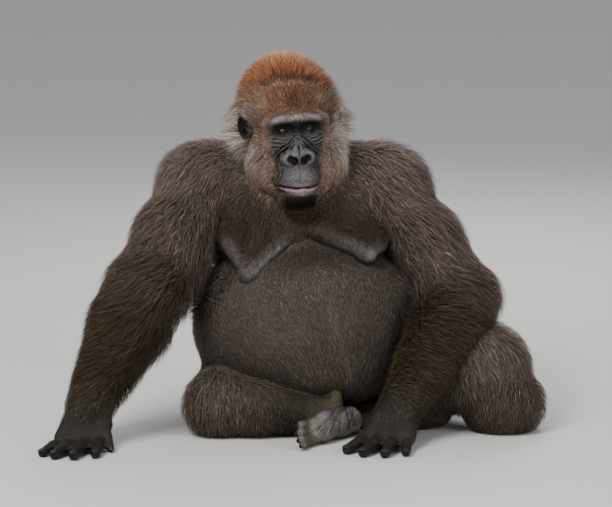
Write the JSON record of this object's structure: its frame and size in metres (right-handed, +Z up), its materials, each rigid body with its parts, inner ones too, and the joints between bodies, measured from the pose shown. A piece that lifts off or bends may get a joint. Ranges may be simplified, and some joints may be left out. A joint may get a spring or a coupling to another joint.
{
  "type": "seated adult female western lowland gorilla, life-size still model",
  "caption": "Life-size gorilla sitting upright on the floor, one arm planted out to the side, one hand down in front, legs folded round a full belly.",
  "frame": {"origin": "on the floor, under the middle of the whole animal's bounding box", "axes": "+Z up; the animal faces -Y; +X is its left, across the widest stretch from hand to knee"},
  "size_m": [1.0886, 0.722, 0.8273],
  "materials": {
    "coat": "dense dark brown-black hair, matt with a faint sheen, longest on the arms and back",
    "crown_coat": "short reddish-brown hair on the crown, greyer round the cheeks",
    "skin": "bare grey-black skin, finely creased, slightly shiny on the nose and brow",
    "eye": "wet amber-brown iris with a dark pupil and brown-black white",
    "tongue": "moist pink",
    "nail": "dark flat nails, smooth and slightly polished"
  },
  "bodies": {
    "root": {"torso_chest": "coat", "torso_belly": "coat", "hips": "coat", "neck": "coat", "head": "crown_coat", "lower_jaw": "skin", "tongue": "tongue", "eye_right": "eye", "eye_left": "eye", "ear_right": "skin", "ear_left": "skin", "breast_right": "skin", "breast_left": "skin", "upper_arm_right": "coat", "forearm_right": "coat", "hand_right": "coat", "finger_index_right": "skin", "finger_middle_right": "skin", "finger_ring_right": "skin", "finger_little_right": "skin", "thumb_right": "skin", "upper_arm_left": "coat", "forearm_left": "coat", "hand_left": "coat", "finger_index_left": "skin", "finger_middle_left": "skin", "finger_ring_left": "skin", "finger_little_left": "skin", "thumb_left": "skin", "thigh_right": "coat", "shin_right": "coat", "foot_right": "skin", "toe_second_right": "skin", "toe_third_right": "skin", "toe_fourth_right": "skin", "toe_fifth_right": "skin", "toe_big_right": "skin", "thigh_left": "coat", "shin_left": "coat", "foot_left": "skin", "toe_second_left": "skin", "toe_third_left": "skin", "toe_fourth_left": "skin", "toe_fifth_left": "skin", "toe_big_left": "skin"}
  },
  "joints": []
}
